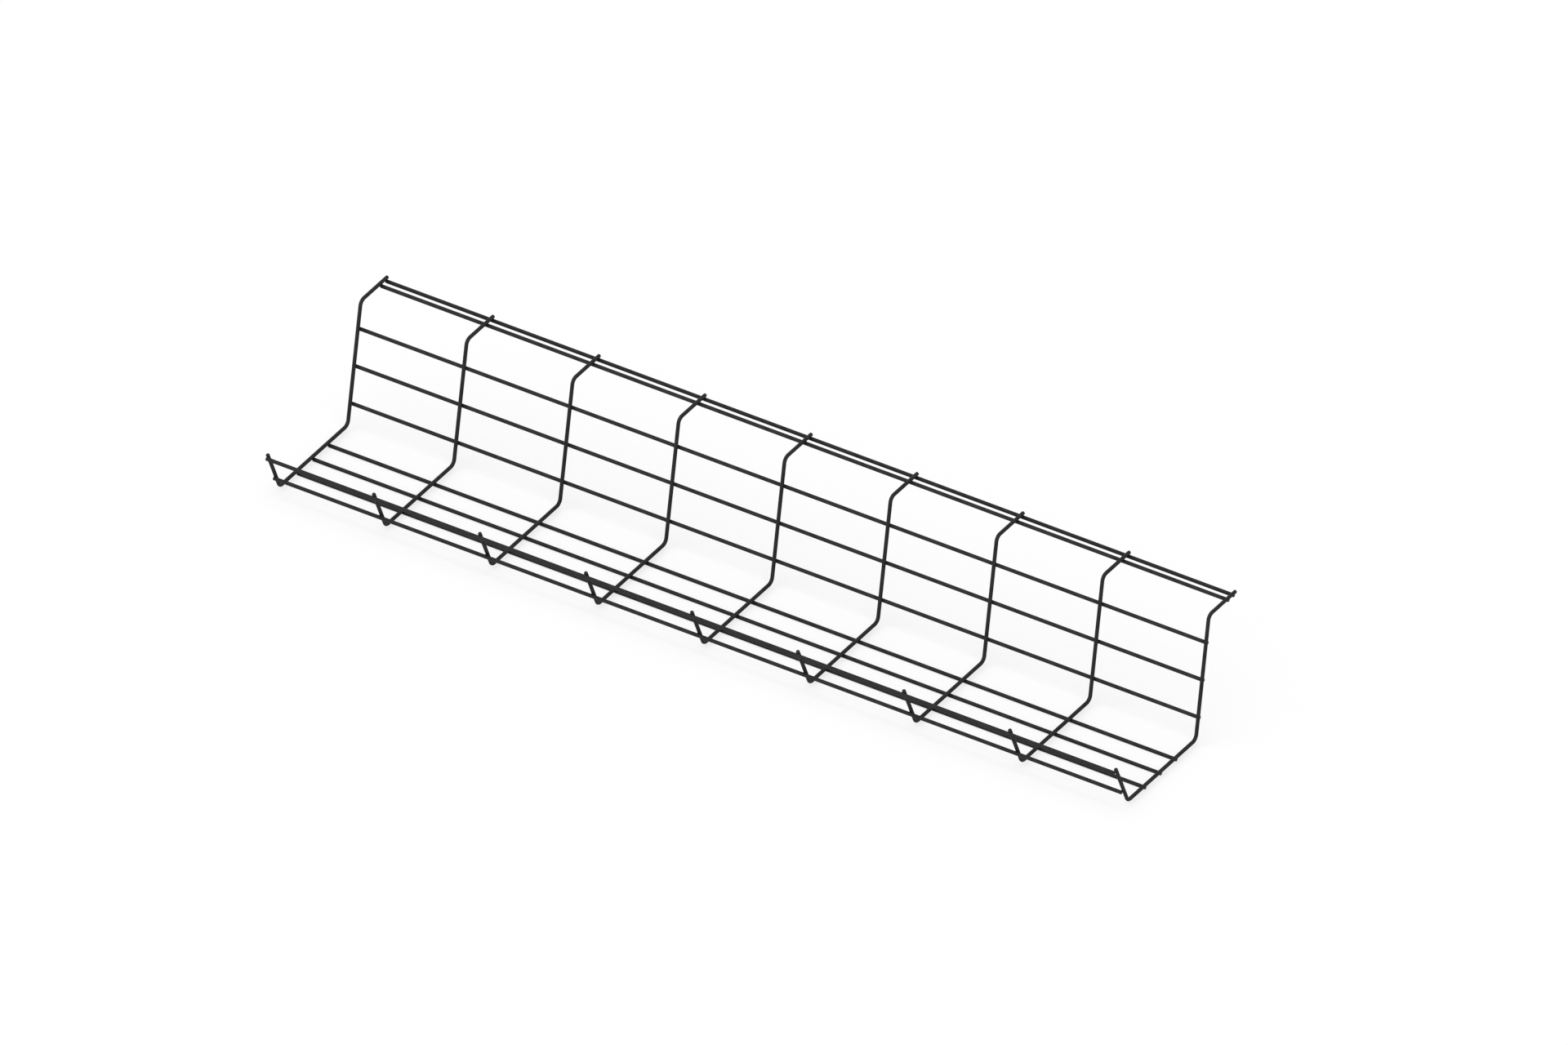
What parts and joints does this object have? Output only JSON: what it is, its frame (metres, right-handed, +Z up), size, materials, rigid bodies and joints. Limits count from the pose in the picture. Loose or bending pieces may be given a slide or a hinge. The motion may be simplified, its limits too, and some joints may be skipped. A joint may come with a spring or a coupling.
{
  "type": "cable tray",
  "caption": "Open wire cable tray: a long welded trough with a low leaning front lip, a high back wall and a top flange that screws up under a desk.",
  "frame": {"origin": "middle of the tray's length and depth, on the level surface that its floor wires stand on", "axes": "+X along the tray, +Y towards the wall and flange (the desk's back edge), +Z up towards the desk"},
  "size_m": [1.004, 0.2243, 0.1445],
  "materials": {
    "powder_coat": "satin black powder coat on steel wire"
  },
  "bodies": {
    "root": {"cross_wire_1": "powder_coat", "cross_wire_2": "powder_coat", "cross_wire_3": "powder_coat", "cross_wire_4": "powder_coat", "cross_wire_5": "powder_coat", "cross_wire_6": "powder_coat", "cross_wire_7": "powder_coat", "cross_wire_8": "powder_coat", "cross_wire_9": "powder_coat", "flange_wire_outer": "powder_coat", "flange_wire_inner": "powder_coat", "wall_wire_upper": "powder_coat", "wall_wire_middle": "powder_coat", "wall_wire_lower": "powder_coat", "floor_wire_back": "powder_coat", "floor_wire_middle": "powder_coat", "floor_wire_front": "powder_coat", "lip_wire_lower": "powder_coat", "lip_wire_upper": "powder_coat"}
  },
  "joints": []
}
